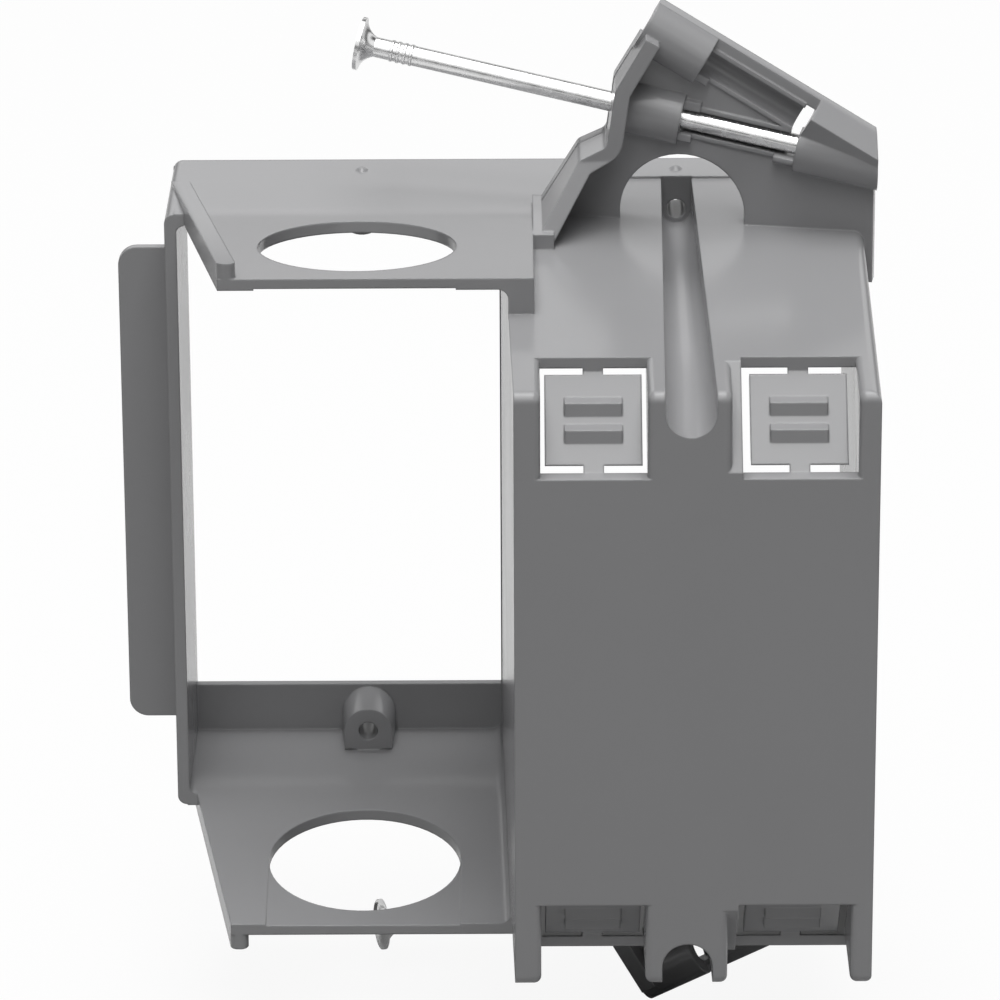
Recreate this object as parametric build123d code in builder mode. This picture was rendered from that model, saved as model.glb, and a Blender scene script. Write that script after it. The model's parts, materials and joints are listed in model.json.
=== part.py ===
from build123d import *
import os
from math import atan2, cos, radians, sin, tan

# Two-gang nail-on switch box: a closed line-voltage box and an open low-voltage frame in one moulding.
# Frame: X runs from the stud towards the open gang, Y from the front rim to the back, Z up.
# The origin is the middle of the device-screw pattern, on the front plane.
# The moulding is the same above and below Z = 0, so its upper half is modelled and mirrored.

# Device-screw pattern
gang_spacing = 46.04
screw_spacing = 83.34
screw_hole_diameter = 2.9
boss_radius = 3.55
boss_depth = 8.7
boss_draft = 4.0

# Front hoop
rim_side_margin = 27.78
rim_top_margin = 5.08
rim_corner = 1.8
hoop_depth = 23.7
hoop_wall = 1.75
hoop_corner = 1.4
hoop_fillet = 1.1
hoop_draft = 1.0
hoop_top_wall = 2.1
lip_height = 9.55
lip_thickness = 1.25
mark_radius = 0.9
mark_height = 0.5
mark_depth = 4.8

# Wallboard flange on the free side wall
flange_front = 10.7
flange_thickness = 1.2
flange_reach = 7.9
flange_end_inset = 9.25
flange_corner = 2.8

# Flared plates of the open gang
plate_depth = 60.4
plate_thickness = 1.7
plate_flare = 5.7
flare_start = 22.4
flare_blend = 60.0
plate_overlap = 3.6
plate_fillet = 1.5
plate_front_overlap = 8.0
plate_edge_inset = 8.7
plate_edge_angle = 9.6
edge_rib_width = 2.7
edge_rib_height = 2.3
edge_rib_start = 9.2
edge_rib_round = 1.1
cable_hole_diameter = 28.1
cable_hole_setback = 18.2
cable_track_depth = 0.25

# Line-voltage box
box_depth = 89.4
box_wall = 1.6
back_wall = 2.5
box_drop = 2.05
rim_band_step = 0.2
divider_offset = 25.92
divider_taper = 1.8
stud_standoff = 0.2
stud_wall_inset = 1.35
stud_wall_taper = 0.85
box_edge_fillet = 1.5
rim_band_depth = 8.0

# Screw channel behind the box gang's boss
channel_front = 7.8
channel_back_radius = 3.55
channel_draft = 0.93

# Cable clamps in the four rear corners
clamp_notch_depth = 13.2
clamp_notch_height = 12.43
clamp_slope_drop = 0.43
clamp_gap_above = 0.35
clamp_gap_below = 0.75
clamp_tab_width = 13.35
clamp_wall = 1.6
clamp_web_width = 2.8
inner_clamp_offset = 13.17
outer_clamp_offset = -14.93
inner_clamp_width = 14.6
outer_clamp_width = 15.7
finger_round = 1.0
side_step_width = 1.5
side_step_rise = 2.4
grip_bar_length = 7.9
grip_bar_base = 2.93
grip_bar_height = 1.2
grip_bar_start = 3.86
grip_bar_pitch = 4.03

# Nail brackets, turned in plan so that the nails point to the back of the stud
bracket_toe = 9.6
bracket_thickness = 2.3
bracket_front_share = 1.8
bracket_setback = 0.3
bracket_corner = 2.0
nail_exit_depth = 29.27
nail_exit_rise = 9.53
low_guide_angle = 10.63
high_guide_angle = 29.9
guide_radius = 3.9
guide_length = 38.4
guide_stud_shell = 11.5
guide_head_shell = 9.9
guide_window = 1.4
window_half_height = 2.2
trough_lip = 0.35
trough_wall = 0.8
lug_radius = 3.3
lug_run = 1.9
lug_height = 1.7
shelf_run = 2.4
shelf_height = 1.2
stub_run = 3.0
stub_height = 2.3
ridge_out = 4.3
ridge_up = 1.95
ridge_return = 1.3
rib_thickness = 2.2
rib_lap = 0.5
rib_bend_share = 0.3
rib_base_depth = 36.0
rib_top_depth = 30.4
rib_start_side = 0.3
rib_shoulder_run = 4.0
rib_shoulder_drop = 2.1
rib_foot_lead = 0.5
rib_foot_width = 3.0
rib_foot_rise = 1.25
rib_corner = 1.5
arch_radius = 8.9
arch_rise = 9.45
arch_shift = 0.4
leg_drop = 8.55

# Nails
nail_diameter = 2.9
nail_clearance = 0.3
nail_length = 73.5
nail_point = 4.5
nail_head_diameter = 7.7
nail_head_rim = 0.55
nail_head_cone = 1.9
nail_neck_share = 0.25
upper_nail_standoff = 35.5
lower_nail_standoff = 33.9

# Overrun of a cut past the face it leaves
overrun = 1.0

# Derived places
open_gang_x = gang_spacing / 2
box_gang_x = -gang_spacing / 2
screw_height = screw_spacing / 2
rim_half_width = gang_spacing / 2 + rim_side_margin
rim_half_height = screw_height + rim_top_margin
stud_face_x = -rim_half_width - stud_standoff
nail_exit_height = rim_half_height + nail_exit_rise
flare = tan(radians(plate_flare))
side_out = rim_half_width + tan(radians(hoop_draft)) * hoop_depth
toe = radians(bracket_toe)
stud_plane_at_guides = Plane(
    origin=(stud_face_x, nail_exit_depth, 0),
    x_dir=(cos(toe), -sin(toe), 0),
    z_dir=(-sin(toe), -cos(toe), 0),
)


def at_depth(depth):
    """Plane parallel to the front, with X right and Z up; positive extrusions run to the front."""
    return Plane.XZ.offset(-depth)


def box_top(depth):
    """Outer half height of the drafted box at a depth."""
    return rim_half_height - rim_band_step - box_drop * depth / box_depth


def divider_x(depth):
    """Open-gang face of the box at a depth."""
    return box_gang_x + divider_offset - divider_taper * depth / box_depth


def stud_wall_x(depth):
    """Stud face of the box at a depth."""
    return stud_face_x + stud_wall_inset + stud_wall_taper * depth / box_depth


def plate_top(depth):
    """Outer half height of the flared plate at a depth."""
    return rim_half_height + flare * max(0, depth - flare_start)


def plate_edge(depth):
    """Slanted free edge of the flared plate at a depth."""
    near_edge = rim_half_width - plate_edge_inset
    return near_edge + tan(radians(plate_edge_angle)) * (plate_depth - depth)


def guide_direction(angle):
    """Unit vector of a nail guide, from its stud end to its head end."""
    along = stud_plane_at_guides.x_dir * cos(radians(angle))
    return along + Vector(0, 0, sin(radians(angle)))


def guide_section(angle, distance):
    """Plane across a guide at a distance from the stud, with its own x axis pointing to the back."""
    exit_point = Vector(stud_face_x, nail_exit_depth, nail_exit_height)
    direction = guide_direction(angle)
    return Plane(
        origin=exit_point + direction * distance,
        x_dir=-stud_plane_at_guides.z_dir,
        z_dir=direction,
    )


def guide_point(angle, distance, side):
    """X and Z of a point beside a guide's axis, in the bracket's own plane."""
    along = distance * cos(radians(angle)) - side * sin(radians(angle))
    rise = distance * sin(radians(angle)) + side * cos(radians(angle))
    return stud_face_x + along * cos(toe), nail_exit_height + rise


def bracket_depth(x):
    """Depth of the toed bracket's middle plane beside a place along the box."""
    return nail_exit_depth - (x - stud_face_x) * tan(toe)


def on_slope(distance, inset):
    """Depth and height of a point down the clamps' slope, an inset below its outer face."""
    depth = ledge_depth + distance * cos(slope) - inset * sin(slope)
    return depth, slope_top - distance * sin(slope) - inset * cos(slope)


plate_end_x = divider_x(plate_depth) - plate_overlap

# Clamp slope: from just below the roof at the ledge down to the sill, which is the back wall's inner edge
ledge_depth = box_depth - clamp_notch_depth
sill_depth = box_depth - back_wall
sill_height = box_top(box_depth) - clamp_notch_height
roof_height = box_top(ledge_depth) - box_wall
slope_top = roof_height - clamp_slope_drop
slope = atan2(slope_top - sill_height, sill_depth - ledge_depth)
slope_length = (sill_depth - ledge_depth) / cos(slope)

# Space inside the line-voltage box: a drafted pocket with its rear corner cut off behind the clamps
channel_depth = box_depth - channel_front
inner_top = on_slope((slope_top - roof_height) / sin(slope) - clamp_wall / tan(slope), clamp_wall)
inner_foot = on_slope(slope_length + clamp_wall * tan(slope), clamp_wall)
with BuildPart() as cavity:
    with BuildSketch(Plane.XY):
        with BuildLine():
            Polyline(
                (stud_wall_x(-overrun) + box_wall, -overrun),
                (divider_x(-overrun) - box_wall, -overrun),
                (divider_x(sill_depth) - box_wall, sill_depth),
                (stud_wall_x(sill_depth) + box_wall, sill_depth),
                close=True,
            )
        make_face()
    extrude(amount=rim_half_height)
    with BuildSketch(Plane.YZ):
        with BuildLine():
            Polyline(
                (-overrun, 0),
                (-overrun, box_top(-overrun) - box_wall),
                inner_top,
                inner_foot,
                (sill_depth, 0),
                close=True,
            )
        make_face()
    extrude(amount=2 * rim_half_width, both=True, mode=Mode.INTERSECT)
    # The boss and the channel's wall stand into the pocket as one drafted ridge
    with BuildSketch(at_depth(box_depth)):
        with Locations((box_gang_x, screw_height)):
            Circle(channel_back_radius + box_wall)
            Rectangle(
                2 * (channel_back_radius + box_wall),
                rim_half_height,
                align=(Align.CENTER, Align.MIN),
            )
    extrude(amount=box_depth + 2 * overrun, taper=channel_draft, mode=Mode.SUBTRACT)

# Flared plate of the open gang, with its slanted edge, edge rib and cable hole
inner_start = plate_top(flare_start) - plate_thickness
with BuildPart() as plate:
    with BuildSketch(Plane.YZ):
        with BuildLine():
            Polyline(
                (0, rim_half_height),
                (flare_start, rim_half_height),
                (plate_depth, plate_top(plate_depth)),
                (plate_depth, plate_top(plate_depth) - plate_thickness),
                (flare_start, inner_start),
                (0, rim_half_height - hoop_top_wall),
                close=True,
            )
        make_face()
        creases = vertices().sort_by_distance((flare_start, rim_half_height))[:2]
        fillet(creases, radius=flare_blend)
    extrude(amount=2 * rim_half_width, both=True)
    with BuildSketch(Plane.XY):
        with BuildLine():
            Polyline(
                (rim_half_width - hoop_corner, 0),
                (side_out - hoop_corner, hoop_depth),
                (plate_edge(hoop_depth), hoop_depth),
                (plate_edge(plate_depth), plate_depth),
                (plate_end_x, plate_depth),
                (plate_end_x, 0),
                close=True,
            )
        make_face()
    extrude(amount=2 * rim_half_height, mode=Mode.INTERSECT)
    cable_hole_depth = plate_depth - cable_hole_setback
    hole_centre = (open_gang_x, cable_hole_depth, plate_top(cable_hole_depth))
    plate_normal = (0, -sin(radians(plate_flare)), cos(radians(plate_flare)))
    with BuildSketch(Plane(origin=hole_centre, x_dir=(1, 0, 0), z_dir=plate_normal)):
        Circle(cable_hole_diameter / 2)
    extrude(amount=2 * plate_thickness, both=True, mode=Mode.SUBTRACT)
    # Shallow track that leads a cable from the plate's edge to the hole
    with BuildSketch(Plane.YZ.offset(open_gang_x)):
        with BuildLine():
            Polyline(
                (cable_hole_depth, plate_top(cable_hole_depth) - 2 * plate_thickness),
                (plate_depth, plate_top(plate_depth) - 2 * plate_thickness),
                (plate_depth, plate_top(plate_depth) - plate_thickness + cable_track_depth),
                (cable_hole_depth, plate_top(cable_hole_depth) - plate_thickness + cable_track_depth),
                close=True,
            )
        make_face()
    extrude(amount=cable_hole_diameter / 2, both=True, mode=Mode.SUBTRACT)

with BuildPart() as edge_rib:
    with BuildSketch(Plane.XY):
        with BuildLine():
            Polyline(
                (plate_edge(edge_rib_start), edge_rib_start),
                (plate_edge(plate_depth), plate_depth),
                (plate_edge(plate_depth) - edge_rib_width, plate_depth),
                (plate_edge(edge_rib_start) - edge_rib_width, edge_rib_start),
                close=True,
            )
        make_face()
    extrude(amount=2 * rim_half_height)
    with BuildSketch(Plane.YZ):
        with BuildLine():
            Polyline(
                (edge_rib_start, rim_half_height),
                (plate_depth, plate_top(plate_depth) + edge_rib_height),
                (plate_depth, plate_top(plate_depth) - plate_thickness),
                (flare_start, inner_start),
                (edge_rib_start, inner_start),
                close=True,
            )
        make_face()
    extrude(amount=2 * rim_half_width, both=True, mode=Mode.INTERSECT)
    rib_middle = (edge_rib_start + plate_depth) / 2
    rib_crest = (plate_edge(rib_middle) - edge_rib_width / 2, rib_middle, plate_top(plate_depth))
    crest_edges = faces().sort_by(Axis.Z)[-1].edges().filter_by(Axis.X, reverse=True)
    fillet(crest_edges.sort_by_distance(rib_crest)[:2], radius=edge_rib_round)

# The block that carries the plate's end down onto the box; it is wider in front of the bracket
root_front_x = plate_end_x - plate_front_overlap + plate_overlap
root_base = box_top(plate_depth) - box_wall / 2
with BuildPart() as plate_root:
    with BuildSketch(Plane.YZ):
        with BuildLine():
            Polyline(
                (rim_band_depth, root_base),
                (rim_band_depth, rim_half_height),
                (flare_start, rim_half_height),
                (plate_depth, plate_top(plate_depth)),
                (plate_depth, root_base),
                close=True,
            )
        make_face()
    extrude(amount=rim_half_width, both=True)
    with BuildSketch(Plane.XY):
        with BuildLine():
            Polyline(
                (root_front_x, 0),
                (root_front_x, bracket_depth(plate_end_x)),
                (plate_end_x, bracket_depth(plate_end_x)),
                (plate_end_x, plate_depth),
                (divider_x(plate_depth), plate_depth),
                (divider_x(0), 0),
                close=True,
            )
        make_face()
    extrude(amount=2 * rim_half_height, mode=Mode.INTERSECT)

# Nail bracket: a toed plate, a stepped head-end rib and two guides that meet at the stud
far = 2 * guide_radius
high_top = guide_point(high_guide_angle, guide_length, guide_radius)
high_low = guide_point(high_guide_angle, guide_length, -guide_radius)
low_corner = guide_point(low_guide_angle, guide_length + rib_lap, -guide_radius - rib_lap)
plate_right_x = stud_face_x + bracket_setback
right_run = bracket_setback / cos(toe) + guide_radius * sin(radians(high_guide_angle))
right_top = guide_point(high_guide_angle, right_run / cos(radians(high_guide_angle)), guide_radius)
box_root = box_top(rib_base_depth) - box_wall / 2
bend_x = low_corner[0] + (high_low[0] - low_corner[0]) * rib_bend_share
bend = (bend_x, high_top[1] - (bend_x - high_top[0]) * tan(radians(90 - high_guide_angle)) / cos(toe))
rib_start = guide_point(high_guide_angle, guide_length, -rib_start_side)
rib_shoulder = (low_corner[0] + rib_shoulder_run, low_corner[1] - rib_shoulder_drop)
rib_foot = (plate_end_x + rib_foot_lead, box_root)
bracket_front = stud_plane_at_guides.offset(bracket_front_share)
leg_end = rim_half_height - leg_drop
with BuildPart() as gusset:
    with BuildSketch(Plane.XZ):
        with BuildLine():
            FilletPolyline(rib_start, bend, low_corner, rib_shoulder, rib_foot, radius=rib_corner)
            offset(amount=rib_thickness, side=Side.RIGHT)
        make_face()
    extrude(amount=-rib_base_depth)
    with BuildSketch(Plane.YZ):
        with BuildLine():
            Polyline(
                (0, box_root),
                (rib_base_depth, box_root),
                (rib_top_depth, rib_shoulder[1]),
                (rib_top_depth, high_top[1]),
                (0, high_top[1]),
                close=True,
            )
        make_face()
    extrude(amount=2 * rim_half_width, both=True, mode=Mode.INTERSECT)
    # Foot block on the box's top
    with BuildSketch(Plane.XZ):
        with Locations((plate_end_x, box_root)):
            Rectangle(
                rib_foot_width,
                rim_half_height + rib_foot_rise - box_root,
                align=(Align.MAX, Align.MIN),
            )
    extrude(amount=-rib_base_depth)
    split(bisect_by=bracket_front, keep=Keep.BOTTOM)

back_share = bracket_thickness - bracket_front_share
bore_radius = nail_diameter / 2 + nail_clearance
head_start = guide_length - guide_head_shell
trough_start = guide_stud_shell + guide_window
with BuildPart() as bracket:
    with BuildSketch(bracket_front) as outline:
        with BuildLine():
            Polyline(
                *[
                    ((x - stud_face_x) / cos(toe), z)
                    for x, z in (
                        (plate_right_x, leg_end),
                        (plate_right_x, right_top[1]),
                        high_top,
                        bend,
                        low_corner,
                        rib_shoulder,
                        rib_foot,
                        (stud_wall_x(nail_exit_depth), box_root),
                        (stud_wall_x(nail_exit_depth), leg_end),
                    )
                ],
                close=True,
            )
        make_face()
        stud_corner = ((plate_right_x - stud_face_x) / cos(toe), right_top[1])
        fillet(vertices().sort_by_distance(stud_corner)[0], radius=bracket_corner)
    extrude(amount=-bracket_thickness)
    # Half-round shells over the nail's back, and the troughs between them
    for angle, start, end in (
        (low_guide_angle, -far, guide_stud_shell),
        (low_guide_angle, head_start, guide_length),
        (high_guide_angle, head_start, guide_length),
    ):
        with BuildSketch(guide_section(angle, start)):
            Circle(guide_radius)
            with Locations((-bracket_front_share, 0)):
                Rectangle(far, 2 * far, align=(Align.MAX, Align.CENTER), mode=Mode.SUBTRACT)
        extrude(amount=end - start)
    # The high guide's stud shell has a flat roof that ends in a ridge
    with BuildSketch(guide_section(high_guide_angle, -far)):
        with BuildLine():
            Polyline(
                (-bracket_front_share, guide_radius),
                (back_share, guide_radius),
                (ridge_out, ridge_up),
                (ridge_out - ridge_return, ridge_up - guide_radius / 2 - ridge_return),
                (-bracket_front_share, -guide_radius),
                close=True,
            )
        make_face()
    extrude(amount=far + guide_stud_shell)
    for angle in (low_guide_angle, high_guide_angle):
        with BuildSketch(guide_section(angle, trough_start)):
            Circle(bore_radius + trough_wall)
            with Locations((back_share + trough_lip, 0)):
                Rectangle(far, 2 * far, align=(Align.MIN, Align.CENTER), mode=Mode.SUBTRACT)
        extrude(amount=head_start - trough_start)
    # Lugs that carry a shell's lower side on, and a thin shelf on the low head shell's upper side
    for angle, start, run, reach, other_side in (
        (low_guide_angle, guide_stud_shell, stub_run, stub_height, Align.MIN),
        (low_guide_angle, head_start - lug_run, lug_run, lug_height, Align.MIN),
        (high_guide_angle, head_start - lug_run, lug_run, lug_height, Align.MIN),
        (low_guide_angle, head_start - shelf_run, shelf_run, shelf_height, Align.MAX),
    ):
        with BuildSketch(guide_section(angle, start)):
            Circle(lug_radius)
            Rectangle(2 * far, far, align=(Align.CENTER, other_side), mode=Mode.SUBTRACT)
            with Locations((reach, 0)):
                Rectangle(far, 2 * far, align=(Align.MIN, Align.CENTER), mode=Mode.SUBTRACT)
        extrude(amount=run)
    add(gusset.part)
    # Bores: open to the front under the shells and to the back along the troughs
    for angle in (low_guide_angle, high_guide_angle):
        for start, end, side in (
            (-far, trough_start, Align.MAX),
            (guide_stud_shell, head_start, Align.MIN),
            (head_start, guide_length + far, Align.MAX),
        ):
            with BuildSketch(guide_section(angle, start)):
                Circle(bore_radius)
                Rectangle(far, 2 * bore_radius, align=(side, Align.CENTER))
            extrude(amount=end - start, mode=Mode.SUBTRACT)
        with BuildSketch(guide_section(angle, guide_stud_shell)):
            with Locations((back_share, 0)):
                Rectangle(far, 2 * window_half_height, align=(Align.MAX, Align.CENTER))
        extrude(amount=guide_window, mode=Mode.SUBTRACT)
    with BuildSketch(at_depth(rib_base_depth)):
        with Locations((box_gang_x - arch_shift, rim_half_height + arch_rise - arch_radius)):
            Circle(arch_radius)
            Rectangle(2 * arch_radius, rim_half_height, align=(Align.CENTER, Align.MAX))
    extrude(amount=rib_base_depth, mode=Mode.SUBTRACT)
    split(bisect_by=Plane.YZ.offset(stud_face_x), keep=Keep.TOP)

# The moulding
with BuildPart() as box:
    with BuildSketch(Plane.XY):
        with BuildLine():
            Polyline(
                (stud_wall_x(0), 0),
                (divider_x(0), 0),
                (divider_x(box_depth), box_depth),
                (stud_wall_x(box_depth), box_depth),
                close=True,
            )
        make_face()
    extrude(amount=rim_half_height)
    with BuildSketch(Plane.YZ):
        with BuildLine():
            Polyline((0, 0), (0, box_top(0)), (box_depth, box_top(box_depth)), (box_depth, 0), close=True)
        make_face()
    extrude(amount=2 * rim_half_width, both=True, mode=Mode.INTERSECT)
    rear_top = edges().sort_by_distance((box_gang_x, box_depth, box_top(box_depth)))[0]
    middle = box_depth / 2
    stud_top = edges().sort_by_distance((stud_wall_x(middle), middle, box_top(middle)))[0]
    fillet([rear_top, stud_top], radius=box_edge_fillet)

    # Front band over the box gang, and the hoop's free side wall
    with BuildSketch(at_depth(0)):
        with BuildLine():
            Polyline(
                (stud_face_x, 0),
                (stud_face_x, rim_half_height),
                (divider_x(0), rim_half_height),
                (divider_x(0), 0),
                close=True,
            )
        make_face()
        fillet(vertices().sort_by_distance((stud_face_x, rim_half_height))[0], radius=rim_corner)
    extrude(amount=-rim_band_depth)
    with BuildSketch(Plane.XY):
        with BuildLine():
            Polyline(
                (rim_half_width - hoop_wall, 0),
                (rim_half_width, 0),
                (side_out, hoop_depth),
                (side_out - hoop_wall, hoop_depth),
                close=True,
            )
        make_face()
    extrude(amount=rim_half_height)
    side_middle = (rim_half_width + side_out) / 2
    hoop_edge = edges().sort_by_distance((side_middle, hoop_depth / 2, rim_half_height))[0]
    fillet(hoop_edge, radius=hoop_corner)
    # Fillet in the hoop's inner corner
    inner_corner = (side_out - hoop_wall, rim_half_height - plate_thickness)
    with BuildSketch(at_depth(hoop_depth)):
        with Locations((inner_corner[0] - hoop_fillet, inner_corner[1] - hoop_fillet)):
            Rectangle(
                hoop_fillet + hoop_wall / 2,
                hoop_fillet + plate_thickness / 2,
                align=(Align.MIN, Align.MIN),
            )
            Circle(hoop_fillet, mode=Mode.SUBTRACT)
    extrude(amount=hoop_depth)
    add(plate.part)
    add(edge_rib.part)
    add(plate_root.part)
    under_plate = plate_top(cable_hole_depth) - plate_thickness
    root_corner = (divider_x(cable_hole_depth), cable_hole_depth, under_plate)
    fillet(edges().sort_by_distance(root_corner)[0], radius=plate_fillet)

    # Wallboard flange
    flange_end = (rim_half_width + flange_reach, rim_half_height - flange_end_inset)
    with BuildSketch(at_depth(flange_front)):
        with BuildLine():
            Polyline(
                (rim_half_width - hoop_wall / 2, 0),
                (flange_end[0], 0),
                flange_end,
                (rim_half_width - hoop_wall / 2, flange_end[1]),
                close=True,
            )
        make_face()
        fillet(vertices().sort_by_distance(flange_end)[0], radius=flange_corner)
    extrude(amount=-flange_thickness)

    # Lip and screw boss of the open gang
    with BuildSketch(at_depth(0)):
        with Locations(((rim_half_width + divider_x(0)) / 2, rim_half_height - lip_height)):
            Rectangle(
                rim_half_width - divider_x(0),
                lip_height - plate_thickness / 2,
                align=(Align.CENTER, Align.MIN),
            )
    extrude(amount=-lip_thickness)
    with BuildSketch(at_depth(boss_depth)):
        with Locations((open_gang_x, screw_height)):
            Circle(boss_radius)
            Rectangle(
                2 * boss_radius,
                rim_half_height - screw_height - hoop_top_wall,
                align=(Align.CENTER, Align.MIN),
            )
    extrude(amount=boss_depth, taper=-boss_draft)
    add(bracket.part)

    # Pocket, screw channel and screw holes
    add(cavity.part, mode=Mode.SUBTRACT)
    with BuildSketch(at_depth(box_depth + overrun)):
        with Locations((box_gang_x, screw_height)):
            Circle(channel_back_radius)
            Rectangle(2 * channel_back_radius, arch_radius, align=(Align.CENTER, Align.MIN))
    extrude(amount=channel_depth + overrun, taper=channel_draft, mode=Mode.SUBTRACT)
    with BuildSketch(at_depth(boss_depth + overrun)):
        with Locations((open_gang_x, screw_height), (box_gang_x, screw_height)):
            Circle(screw_hole_diameter / 2)
    extrude(amount=boss_depth + 2 * overrun, mode=Mode.SUBTRACT)

    # Cable clamps: a notch with a sloping tab, cut free but for a web above and below it
    tab_start = clamp_gap_above / sin(slope)
    tab_end = slope_length - clamp_gap_below / sin(slope)
    tab_foot = on_slope(tab_end, 0)
    through = clamp_wall + overrun
    notch = (
        on_slope(0, 0),
        (sill_depth, sill_height),
        (box_depth + overrun, sill_height),
        (box_depth + overrun, rim_half_height),
        (ledge_depth, rim_half_height),
    )
    gap_above = (
        on_slope(tab_start, 0),
        on_slope(tab_start, through),
        (inner_top[0] - overrun, roof_height),
        (ledge_depth, roof_height),
    )
    gap_below = (
        tab_foot,
        (sill_depth, tab_foot[1]),
        (sill_depth, inner_foot[1] - overrun),
        (tab_foot[0] - 2 * through / sin(slope), inner_foot[1] - overrun),
        (tab_foot[0] - 2 * through / sin(slope), tab_foot[1]),
    )
    gap_beside = (
        on_slope(0, 0),
        on_slope(slope_length, 0),
        on_slope(slope_length, through),
        on_slope(0, through),
    )
    for clamp_offset, clamp_width in (
        (inner_clamp_offset, inner_clamp_width),
        (outer_clamp_offset, outer_clamp_width),
    ):
        clamp_x = box_gang_x + clamp_offset
        web_to_side = (clamp_width - clamp_web_width) / 2
        tab_to_side = (clamp_width - clamp_tab_width) / 2
        for profile, near_x, run in (
            (notch, clamp_x - clamp_width / 2, clamp_width),
            (gap_above, clamp_x - clamp_width / 2, web_to_side),
            (gap_above, clamp_x + clamp_web_width / 2, web_to_side),
            (gap_below, clamp_x - clamp_width / 2, web_to_side),
            (gap_below, clamp_x + clamp_web_width / 2, web_to_side),
            (gap_beside, clamp_x - clamp_width / 2, tab_to_side),
            (gap_beside, clamp_x + clamp_tab_width / 2, tab_to_side),
        ):
            with BuildSketch(Plane.YZ.offset(near_x)):
                with BuildLine():
                    Polyline(*profile, close=True)
                make_face()
            extrude(amount=run, mode=Mode.SUBTRACT)
        with BuildSketch(Plane.YZ.offset(clamp_x - grip_bar_length / 2)):
            for bar in range(2):
                bar_start = grip_bar_start + bar * grip_bar_pitch
                with BuildLine():
                    Polyline(
                        on_slope(bar_start, clamp_wall / 2),
                        on_slope(bar_start, 0),
                        on_slope(bar_start + grip_bar_base * sin(slope) ** 2, -grip_bar_height),
                        on_slope(bar_start + grip_bar_base, 0),
                        on_slope(bar_start + grip_bar_base, clamp_wall / 2),
                        close=True,
                    )
                make_face()
        extrude(amount=grip_bar_length)
    with BuildSketch(Plane.YZ.offset(box_gang_x + outer_clamp_offset + outer_clamp_width / 2)):
        with BuildLine():
            Polyline(
                on_slope(-box_depth, -side_step_rise),
                on_slope(box_depth, -side_step_rise),
                on_slope(box_depth, -box_depth),
                on_slope(-box_depth, -box_depth),
                close=True,
            )
        make_face()
    extrude(amount=side_step_width, mode=Mode.SUBTRACT)

    # Rounded edges along the fingers between the notches
    finger_middle = (ledge_depth + box_depth) / 2
    finger_sides = (
        box_gang_x + inner_clamp_offset + inner_clamp_width / 2,
        box_gang_x + inner_clamp_offset - inner_clamp_width / 2,
        box_gang_x + outer_clamp_offset + outer_clamp_width / 2 + side_step_width,
        box_gang_x + outer_clamp_offset - outer_clamp_width / 2,
    )
    finger_tops = [(x, finger_middle, box_top(finger_middle)) for x in finger_sides]
    fillet([edges().sort_by_distance(top)[0] for top in finger_tops], radius=finger_round)

    # Centre marks above the screws, as low domes
    mark_sphere = (mark_radius ** 2 + mark_height ** 2) / (2 * mark_height)
    mark_centre = rim_half_height + mark_height - mark_sphere
    with Locations((open_gang_x, mark_depth, mark_centre), (box_gang_x, mark_depth, mark_centre)):
        Sphere(mark_sphere)
    mirror(about=Plane.XY)


def nail(standoff, side):
    """A nail with its head a standoff away from the bracket's rib; side -1 is the lower one."""
    start = guide_length + standoff
    section = guide_section(low_guide_angle, start)
    with BuildPart() as piece:
        with BuildSketch(Plane(origin=section.origin, x_dir=section.z_dir, z_dir=section.y_dir)):
            with BuildLine():
                Polyline(
                    (0, nail_diameter / 2),
                    (nail_point - nail_length, nail_diameter / 2),
                    (-nail_length, 0),
                    (nail_head_cone + nail_head_rim, 0),
                    (nail_head_cone + nail_head_rim, nail_head_diameter / 2),
                    (nail_head_cone, nail_head_diameter / 2),
                )
                neck = nail_diameter / 2 + (nail_head_diameter - nail_diameter) / 2 * nail_neck_share
                ThreePointArc(
                    (nail_head_cone, nail_head_diameter / 2),
                    (nail_head_cone / 2, neck),
                    (0, nail_diameter / 2),
                )
            make_face()
        revolve(axis=Axis(section.origin, section.z_dir))
        if side < 0:
            mirror(about=Plane.XY, mode=Mode.REPLACE)
    return piece


upper_nail = nail(upper_nail_standoff, 1)
lower_nail = nail(lower_nail_standoff, -1)

box.part.label = "box"
upper_nail.part.label = "upper_nail"
lower_nail.part.label = "lower_nail"
os.makedirs("parts", exist_ok=True)
export_step(box.part, "parts/box.step")
export_step(upper_nail.part, "parts/upper_nail.step")
export_step(lower_nail.part, "parts/lower_nail.step")
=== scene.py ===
import json
import math

import bmesh
import bpy
from mathutils import Matrix, Vector


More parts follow.
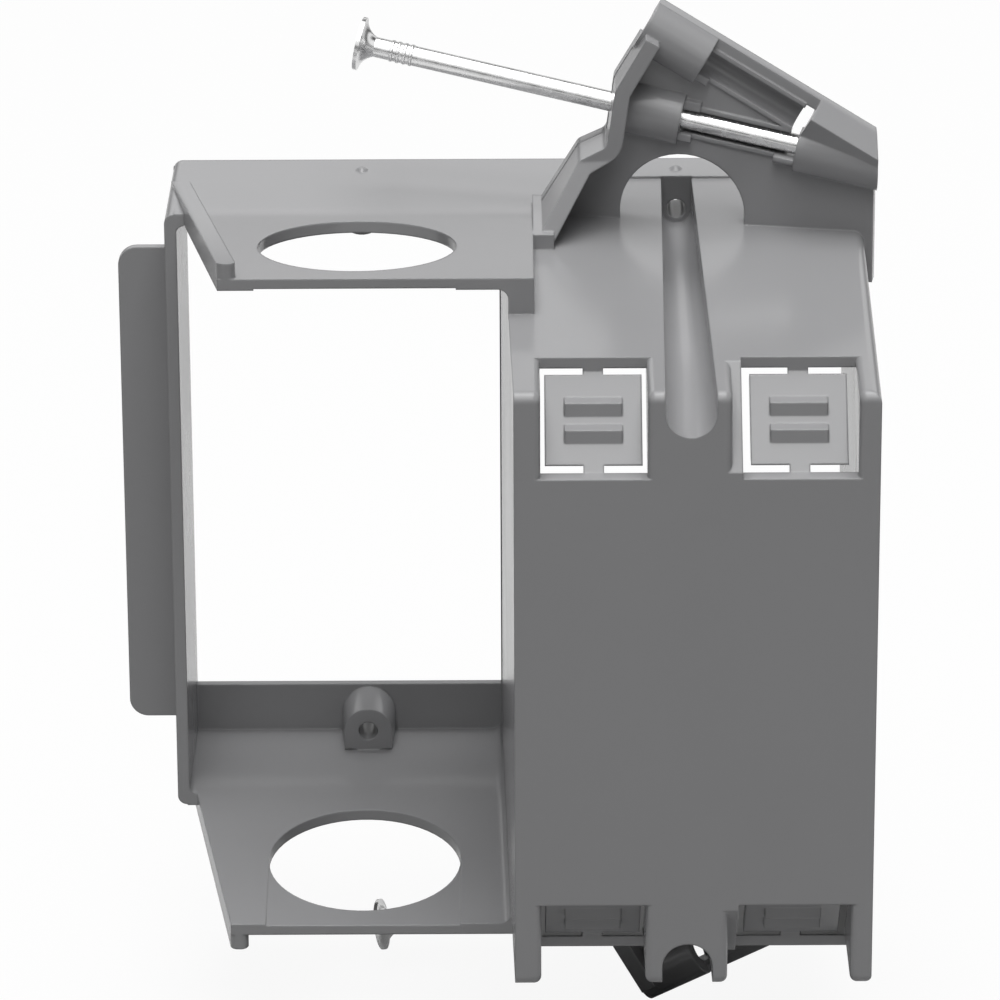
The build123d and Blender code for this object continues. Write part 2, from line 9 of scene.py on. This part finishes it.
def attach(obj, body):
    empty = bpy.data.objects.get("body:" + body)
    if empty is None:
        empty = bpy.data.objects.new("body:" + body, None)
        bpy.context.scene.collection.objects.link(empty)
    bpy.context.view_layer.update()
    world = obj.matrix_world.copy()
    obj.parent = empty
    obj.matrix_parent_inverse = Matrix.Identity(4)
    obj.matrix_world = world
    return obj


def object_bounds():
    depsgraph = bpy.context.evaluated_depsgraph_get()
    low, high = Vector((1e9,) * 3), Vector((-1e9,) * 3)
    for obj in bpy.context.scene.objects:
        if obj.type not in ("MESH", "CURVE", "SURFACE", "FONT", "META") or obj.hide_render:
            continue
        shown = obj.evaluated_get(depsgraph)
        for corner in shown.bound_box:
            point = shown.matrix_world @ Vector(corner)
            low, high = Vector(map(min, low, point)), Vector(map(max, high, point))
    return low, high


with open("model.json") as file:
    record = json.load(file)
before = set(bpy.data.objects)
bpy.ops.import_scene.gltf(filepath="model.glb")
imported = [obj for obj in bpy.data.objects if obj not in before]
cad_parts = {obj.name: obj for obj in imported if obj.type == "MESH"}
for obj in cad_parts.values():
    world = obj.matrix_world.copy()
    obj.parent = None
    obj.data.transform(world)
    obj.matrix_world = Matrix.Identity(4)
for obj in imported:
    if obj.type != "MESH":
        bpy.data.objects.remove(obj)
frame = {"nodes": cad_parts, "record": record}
cad_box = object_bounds()
MM = 0.001

# Camera: a long lens behind the box and above it, as in the photograph, with angles in degrees
CAMERA_PLACE = Vector((2.80, 933.15, 376.63)) * MM
CAMERA_PITCH = 22.38
CAMERA_YAW = 180.01
CAMERA_ROLL = -0.26
CAMERA_LENS = 241.57
CAMERA_SENSOR = 36.0
CAMERA_CLIP = (0.05, 20.0)

# Large soft panels, each with an elevation, a turn from the camera's side in degrees, and its watts
PANELS = {
    "overhead": (90, 0, 10.3),
    "high_rear": (70, 0, 4.9),
    "rear": (50, 0, 4.1),
    "front": (65, 180, 2.6),
}
PANEL_DISTANCE = 1.5
PANEL_SIZE = 0.8

# Fill from the sky, strongest overhead and gone at the horizon
SKY_STRENGTH = 0.75
SKY_FALL = 3.0

# Studio walls in reflections, as stops of height and tone, where straight up is a height of 1
WALL_TONES = ((0.10, 0.08), (0.20, 1.0))

# Dark band across the walls opposite the camera, as stops of height and share
BAND_SHARES = ((0.40, 0.0), (0.48, 1.0), (0.78, 1.0), (0.86, 0.0))
BAND_DARKNESS = 0.95

# Floor: half its width, its tones for bounced light and in reflections, and the camera's share of plain white
FLOOR_HALF = 6.0
FLOOR_BOUNCE = 0.38
FLOOR_PALE = 0.9
FLOOR_WHITE = 0.92

# Noise values lie mostly between these two, so colour and gloss are spread over them
NOISE_LIMITS = (0.33, 0.67)
BUMP_DEPTH = 0.02 * MM

# Moulded vinyl: linear colour and its least and most share, gloss, and noises with their scale and detail
VINYL = (0.335, 0.335, 0.342)
VINYL_SHARES = (0.99, 1.01)
VINYL_ROUGHNESS = (0.185, 0.215)
VINYL_IOR = 1.42
VINYL_CLOUDS = (45.0, 3.0)
VINYL_GRAIN = (2600.0, 2.0)
VINYL_BUMP = 0.12

# Bright zinc, in the same order
ZINC = (0.80, 0.80, 0.80)
ZINC_SHARES = (0.93, 1.05)
ZINC_ROUGHNESS = (0.20, 0.30)
ZINC_SPANGLE = (700.0, 2.0)
ZINC_BUMP = 0.2

# Edges of the moulding: the radius that the shading gives them, and the angle from which they count as sharp
EDGE_RADIUS = 0.4 * MM
EDGE_SAMPLES = 8
EDGE_ANGLE = math.radians(30)

# Flat sides of the moulding become one face each, and the largest faces decide the normals
WELD_REACH = 0.002 * MM
FLAT_ANGLE = math.radians(0.1)
LARGE_FACE_WEIGHT = 100

# Grip rings rolled into each nail's shank below its head
SHANK_RADIUS = 1.45 * MM
RING_COUNT = 4
RING_START = 5.0 * MM
RING_PITCH = 0.95 * MM
RING_WIDTH = 0.6 * MM
RING_HEIGHT = 0.14 * MM
RING_SUNK = 0.05 * MM
RING_STEPS = 48
RING_ARC = 7


def grey(level):
    return (level, level, level, 1)


def tint(colour, share):
    return (*(channel * share for channel in colour), 1)


class Shader:
    """Short way to add linked shader nodes to a material or world."""

    def __init__(self, owner):
        owner.use_nodes = True
        self.nodes = owner.node_tree.nodes
        self.links = owner.node_tree.links

    def feed(self, socket, value):
        """Link an input to another node's output, or give it a plain value."""
        if isinstance(value, bpy.types.NodeSocket):
            self.links.new(value, socket)
        else:
            socket.default_value = value

    def fill(self, node, **inputs):
        """Feed a node's inputs by their names, with underscores for spaces."""
        for name, value in inputs.items():
            self.feed(node.inputs[name.replace("_", " ")], value)

    def node(self, kind, **inputs):
        made = self.nodes.new("ShaderNode" + kind)
        self.fill(made, **inputs)
        return made

    def math(self, operation, a, b):
        made = self.nodes.new("ShaderNodeMath")
        made.operation = operation
        self.feed(made.inputs[0], a)
        self.feed(made.inputs[1], b)
        return made.outputs["Value"]

    def mix(self, share, base, other):
        """Pass from one shader to another by a share from 0 to 1."""
        made = self.node("MixShader", Fac=share)
        self.feed(made.inputs[1], base.outputs[0])
        self.feed(made.inputs[2], other.outputs[0])
        return made

    def noise(self, place, scale, detail):
        made = self.node("TexNoise", Vector=place, Scale=scale, Detail=detail)
        return made.outputs["Fac"]

    def ramp(self, value, stops):
        """Colour that follows a value through stops, each a place and a colour."""
        made = self.node("ValToRGB", Fac=value)
        marks = made.color_ramp.elements
        first, *inner, last = stops
        for mark, (place, colour) in zip(marks, (first, last)):
            mark.position = place
            mark.color = colour
        for place, colour in inner:
            marks.new(place).color = colour
        return made.outputs["Color"]

    def tones(self, value, stops):
        """Grey that follows a value through stops, each a place and a level."""
        return self.ramp(value, [(place, grey(level)) for place, level in stops])

    def mottle(self, noise, colour, shares):
        """Colour that follows a noise between two shares of itself."""
        return self.ramp(noise, zip(NOISE_LIMITS, [tint(colour, share) for share in shares]))

    def spread(self, noise, low, high):
        """Number that follows a noise between two others."""
        start, end = NOISE_LIMITS
        made = self.node("MapRange", Value=noise, From_Min=start, From_Max=end, To_Min=low, To_Max=high)
        return made.outputs["Result"]


def seen_directly(shader):
    """1 for the rays that show the background: camera, glossy and transmission rays."""
    path = shader.node("LightPath")
    sharp = shader.math("MAXIMUM", path.outputs["Is Camera Ray"], path.outputs["Is Glossy Ray"])
    return shader.math("MAXIMUM", sharp, path.outputs["Is Transmission Ray"])


def make_camera():
    camera = bpy.data.cameras.new("camera")
    camera.sensor_width = CAMERA_SENSOR
    camera.lens = CAMERA_LENS
    camera.clip_start, camera.clip_end = CAMERA_CLIP
    holder = bpy.data.objects.new("camera", camera)
    turn = Matrix.Rotation(math.radians(CAMERA_YAW), 4, "Z")
    tilt = Matrix.Rotation(math.radians(90 - CAMERA_PITCH), 4, "X")
    roll = Matrix.Rotation(math.radians(CAMERA_ROLL), 4, "Z")
    holder.matrix_world = Matrix.Translation(CAMERA_PLACE) @ turn @ tilt @ roll
    bpy.context.scene.collection.objects.link(holder)
    bpy.context.scene.camera = holder


def make_panel(name, elevation, turn, watts):
    light = bpy.data.lights.new(name, "AREA")
    light.shape = "SQUARE"
    light.size = PANEL_SIZE
    light.energy = watts
    holder = bpy.data.objects.new(name, light)
    level = math.cos(math.radians(elevation))
    across = level * math.sin(math.radians(turn))
    away = level * math.cos(math.radians(turn))
    aim = Vector((across, away, math.sin(math.radians(elevation))))
    holder.location = aim * PANEL_DISTANCE
    holder.rotation_euler = (-aim).to_track_quat("-Z", "Y").to_euler()
    bpy.context.scene.collection.objects.link(holder)


def floor_material():
    """Nearly plain white to the camera, pale in reflections, and dimmer in the light that it throws back."""
    material = bpy.data.materials.new("floor_white")
    shader = Shader(material)
    shader.nodes.clear()
    dim = shader.node("BsdfDiffuse", Color=grey(FLOOR_BOUNCE))
    pale = shader.node("BsdfDiffuse", Color=grey(FLOOR_PALE))
    white = shader.node("Emission", Strength=1.0)
    path = shader.node("LightPath")
    share = shader.math("MULTIPLY", path.outputs["Is Camera Ray"], FLOOR_WHITE)
    backdrop = shader.mix(share, pale, white)
    both = shader.mix(seen_directly(shader), dim, backdrop)
    shader.node("OutputMaterial", Surface=both.outputs["Shader"])
    return material


def make_floor():
    mesh = bpy.data.meshes.new("floor")
    level = cad_box[0].z
    signs = ((-1, -1), (1, -1), (1, 1), (-1, 1))
    corners = [(x * FLOOR_HALF, y * FLOOR_HALF, level) for x, y in signs]
    mesh.from_pydata(corners, [], [(0, 1, 2, 3)])
    mesh.materials.append(floor_material())
    floor = bpy.data.objects.new("floor", mesh)
    bpy.context.scene.collection.objects.link(floor)


def make_world():
    """Studio walls where they are seen or mirrored, and elsewhere a fill that is strongest overhead.

    The walls are white above a dark foot, with a dark band on the side opposite the camera.
    """
    world = bpy.data.worlds.new("studio")
    bpy.context.scene.world = world
    shader = Shader(world)
    shader.nodes.clear()
    way = shader.node("TexCoord").outputs["Generated"]
    split = shader.node("SeparateXYZ", Vector=way)
    height = split.outputs["Z"]
    above = shader.math("MAXIMUM", height, 0.0)
    glow = shader.math("MULTIPLY", shader.math("POWER", above, SKY_FALL), SKY_STRENGTH)
    fill = shader.node("Background", Strength=glow)
    opposite = shader.math("LESS_THAN", split.outputs["Y"], 0.0)
    band = shader.math("MULTIPLY", shader.tones(height, BAND_SHARES), opposite)
    level = shader.math("SUBTRACT", 1.0, shader.math("MULTIPLY", band, BAND_DARKNESS))
    walls = shader.node("Background", Color=shader.tones(height, WALL_TONES), Strength=level)
    both = shader.mix(seen_directly(shader), fill, walls)
    shader.node("OutputWorld", Surface=both.outputs["Shader"])


def vinyl_material():
    """Satin grey vinyl: faint flow clouds in its colour and gloss, a fine grain and rounded edges."""
    material = bpy.data.materials.new("moulded_vinyl")
    shader = Shader(material)
    place = shader.node("TexCoord").outputs["Object"]
    clouds = shader.noise(place, *VINYL_CLOUDS)
    grain = shader.noise(place, *VINYL_GRAIN)
    edges = shader.node("Bevel", Radius=EDGE_RADIUS)
    edges.samples = EDGE_SAMPLES
    rounded = edges.outputs["Normal"]
    bump = shader.node("Bump", Strength=VINYL_BUMP, Distance=BUMP_DEPTH, Height=grain, Normal=rounded)
    shader.fill(
        shader.nodes["Principled BSDF"],
        Base_Color=shader.mottle(clouds, VINYL, VINYL_SHARES),
        Roughness=shader.spread(clouds, *VINYL_ROUGHNESS),
        IOR=VINYL_IOR,
        Normal=bump.outputs["Normal"],
    )
    return material


def zinc_material():
    """Bright zinc plating, with a faint spangle in its colour, gloss and surface."""
    material = bpy.data.materials.new("bright_zinc")
    shader = Shader(material)
    place = shader.node("TexCoord").outputs["Object"]
    spangle = shader.noise(place, *ZINC_SPANGLE)
    bump = shader.node("Bump", Strength=ZINC_BUMP, Distance=BUMP_DEPTH, Height=spangle)
    shader.fill(
        shader.nodes["Principled BSDF"],
        Base_Color=shader.mottle(spangle, ZINC, ZINC_SHARES),
        Metallic=1.0,
        Roughness=shader.spread(spangle, *ZINC_ROUGHNESS),
        Normal=bump.outputs["Normal"],
    )
    return material


def smooth_by_angle():
    """Node group that shades faces smoothly, apart from the edges that are sharper than EDGE_ANGLE."""
    group = bpy.data.node_groups.new("smooth_by_angle", "GeometryNodeTree")
    for side in ("INPUT", "OUTPUT"):
        group.interface.new_socket("Geometry", in_out=side, socket_type="NodeSocketGeometry")
    start = group.nodes.new("NodeGroupInput")
    faces = group.nodes.new("GeometryNodeSetShadeSmooth")
    edges = group.nodes.new("GeometryNodeSetShadeSmooth")
    edges.domain = "EDGE"
    edges.inputs["Shade Smooth"].default_value = False
    angle = group.nodes.new("GeometryNodeInputMeshEdgeAngle")
    sharp = group.nodes.new("FunctionNodeCompare")
    sharp.inputs["B"].default_value = EDGE_ANGLE
    end = group.nodes.new("NodeGroupOutput")
    group.links.new(start.outputs["Geometry"], faces.inputs["Geometry"])
    group.links.new(faces.outputs["Geometry"], edges.inputs["Geometry"])
    group.links.new(angle.outputs["Unsigned Angle"], sharp.inputs["A"])
    group.links.new(sharp.outputs["Result"], edges.inputs["Selection"])
    group.links.new(edges.outputs["Geometry"], end.inputs["Geometry"])
    return group


def shade_moulding(piece):
    """Normals that keep the large faces flat and the blends between them smooth."""
    weld = piece.modifiers.new("weld", "WELD")
    weld.merge_threshold = WELD_REACH
    flat = piece.modifiers.new("flat", "DECIMATE")
    flat.decimate_type = "DISSOLVE"
    flat.angle_limit = FLAT_ANGLE
    smooth = piece.modifiers.new("smooth", "NODES")
    smooth.node_group = smooth_by_angle()
    normals = piece.modifiers.new("normals", "WEIGHTED_NORMAL")
    normals.mode = "FACE_AREA"
    normals.weight = LARGE_FACE_WEIGHT
    normals.keep_sharp = True


def nail_axis(node, way):
    """The middle of a nail's head, and two directions square to the nail."""
    across = way.orthogonal().normalized()
    upright = way.cross(across)
    points = [vertex.co for vertex in node.data.vertices]
    middle = Vector()
    for direction in (across, upright):
        reach = [point.dot(direction) for point in points]
        middle += direction * (min(reach) + max(reach)) / 2
    middle += way * min(point.dot(way) for point in points)
    return middle, across, upright


def ring_section():
    """Points of a ring's half-round section, as places along the nail and distances from its line."""
    section = []
    for point in range(RING_ARC):
        arc = math.pi * point / (RING_ARC - 1)
        along = -math.cos(arc) * RING_WIDTH / 2
        height = SHANK_RADIUS - RING_SUNK + (RING_HEIGHT + RING_SUNK) * math.sin(arc)
        section.append((along, height))
    return section


def grip_rings(body, way, material):
    """Low rounded rings around a nail's shank, square to the nail's own line."""
    head, across, upright = nail_axis(frame["nodes"][body], way)
    section = ring_section()
    shape = bmesh.new()
    for number in range(RING_COUNT):
        middle = head + way * (RING_START + number * RING_PITCH)
        loops = []
        for step in range(RING_STEPS):
            turn = math.tau * step / RING_STEPS
            outward = across * math.cos(turn) + upright * math.sin(turn)
            places = [middle + way * along + outward * height for along, height in section]
            loops.append([shape.verts.new(place) for place in places])
        for one, other in zip(loops, loops[1:] + loops[:1]):
            for point in range(RING_ARC):
                following = (point + 1) % RING_ARC
                shape.faces.new((one[point], one[following], other[following], other[point]))
    bmesh.ops.recalc_face_normals(shape, faces=shape.faces)
    mesh = bpy.data.meshes.new(body + "_rings")
    shape.to_mesh(mesh)
    shape.free()
    mesh.polygons.foreach_set("use_smooth", [True] * len(mesh.polygons))
    mesh.materials.append(material)
    rings = bpy.data.objects.new(body + "_rings", mesh)
    bpy.context.scene.collection.objects.link(rings)
    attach(rings, body)


# The part: its two finishes, the moulding's normals and the nails' rings
vinyl = vinyl_material()
zinc = zinc_material()
for name, node in frame["nodes"].items():
    node.data.materials.clear()
    node.data.materials.append(vinyl if name == "box" else zinc)
shade_moulding(frame["nodes"]["box"])
for drive in frame["record"]["behaviour"]["joints"]:
    grip_rings(drive["child"], Vector(drive["axis"]).normalized(), zinc)

# The studio around it
make_camera()
make_floor()
for panel, (elevation, turn, watts) in PANELS.items():
    make_panel(panel, elevation, turn, watts)
make_world()
bpy.context.scene.view_settings.view_transform = "Standard"
